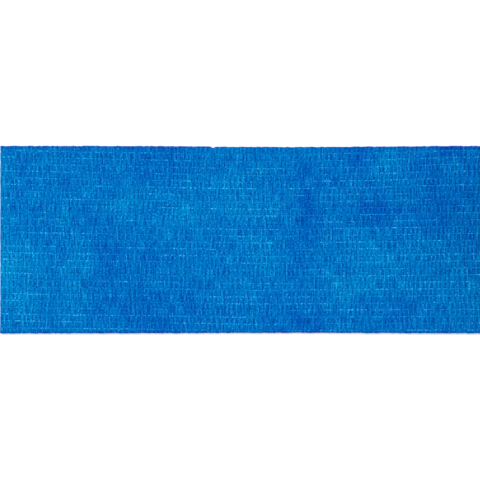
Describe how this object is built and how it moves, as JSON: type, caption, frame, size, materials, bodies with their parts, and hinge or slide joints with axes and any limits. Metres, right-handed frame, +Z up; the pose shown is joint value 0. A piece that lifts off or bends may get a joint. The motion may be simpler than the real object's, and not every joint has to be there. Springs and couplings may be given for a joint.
{
  "type": "hand wrap",
  "caption": "Self-gripping elastic hand wrap: a crinkled nonwoven band with elastic yarns laid inside it, its free end drawn out flat from the roll on its board tube.",
  "frame": {"origin": "the middle of the whole object's footprint, on the surface that it lies on", "axes": "+X along the drawn-out band, from its cut end towards the roll; +Y across the band; +Z up, away from the surface that the band lies on"},
  "size_m": [0.1886, 0.05, 0.0573],
  "materials": {
    "blue_nonwoven": "matte",
    "elastic_yarn": "satin",
    "core_board": "matte"
  },
  "bodies": {
    "flat_run": {"back_web": "blue_nonwoven", "face_web": "blue_nonwoven", "elastic_yarn_01": "elastic_yarn", "elastic_yarn_02": "elastic_yarn", "elastic_yarn_03": "elastic_yarn", "elastic_yarn_04": "elastic_yarn", "elastic_yarn_05": "elastic_yarn", "elastic_yarn_06": "elastic_yarn", "elastic_yarn_07": "elastic_yarn", "elastic_yarn_08": "elastic_yarn", "elastic_yarn_09": "elastic_yarn", "elastic_yarn_10": "elastic_yarn", "elastic_yarn_11": "elastic_yarn", "elastic_yarn_12": "elastic_yarn", "elastic_yarn_13": "elastic_yarn", "elastic_yarn_14": "elastic_yarn", "elastic_yarn_15": "elastic_yarn", "elastic_yarn_16": "elastic_yarn", "elastic_yarn_17": "elastic_yarn", "elastic_yarn_18": "elastic_yarn", "elastic_yarn_19": "elastic_yarn", "elastic_yarn_20": "elastic_yarn", "elastic_yarn_21": "elastic_yarn", "elastic_yarn_22": "elastic_yarn", "elastic_yarn_23": "elastic_yarn", "elastic_yarn_24": "elastic_yarn", "elastic_yarn_25": "elastic_yarn", "elastic_yarn_26": "elastic_yarn", "elastic_yarn_27": "elastic_yarn"},
    "outer_turn": {"outer_turn": "blue_nonwoven"},
    "roll": {"wound_turns": "blue_nonwoven", "core_tube": "core_board"}
  },
  "joints": [
    {"name": "roll_travel", "type": "slide", "parent": "flat_run", "child": "outer_turn", "axis": [1, 0, 0], "range_m": [-0.13, 0], "deforming": ["back_web", "face_web", "elastic_yarn_01", "elastic_yarn_02", "elastic_yarn_03", "elastic_yarn_04", "elastic_yarn_05", "elastic_yarn_06", "elastic_yarn_07", "elastic_yarn_08", "elastic_yarn_09", "elastic_yarn_10", "elastic_yarn_11", "elastic_yarn_12", "elastic_yarn_13", "elastic_yarn_14", "elastic_yarn_15", "elastic_yarn_16", "elastic_yarn_17", "elastic_yarn_18", "elastic_yarn_19", "elastic_yarn_20", "elastic_yarn_21", "elastic_yarn_22", "elastic_yarn_23", "elastic_yarn_24", "elastic_yarn_25", "elastic_yarn_26", "elastic_yarn_27"]},
    {"name": "roll_turn", "type": "hinge", "parent": "outer_turn", "child": "roll", "pos_m": [0.06566, 0, 0.029], "axis": [0, 1, 0], "range_deg": [-262, 0]}
  ],
  "couplings": [
    {"joint": "roll_turn", "follows": "roll_travel", "rad_per_m": 35.088}
  ]
}
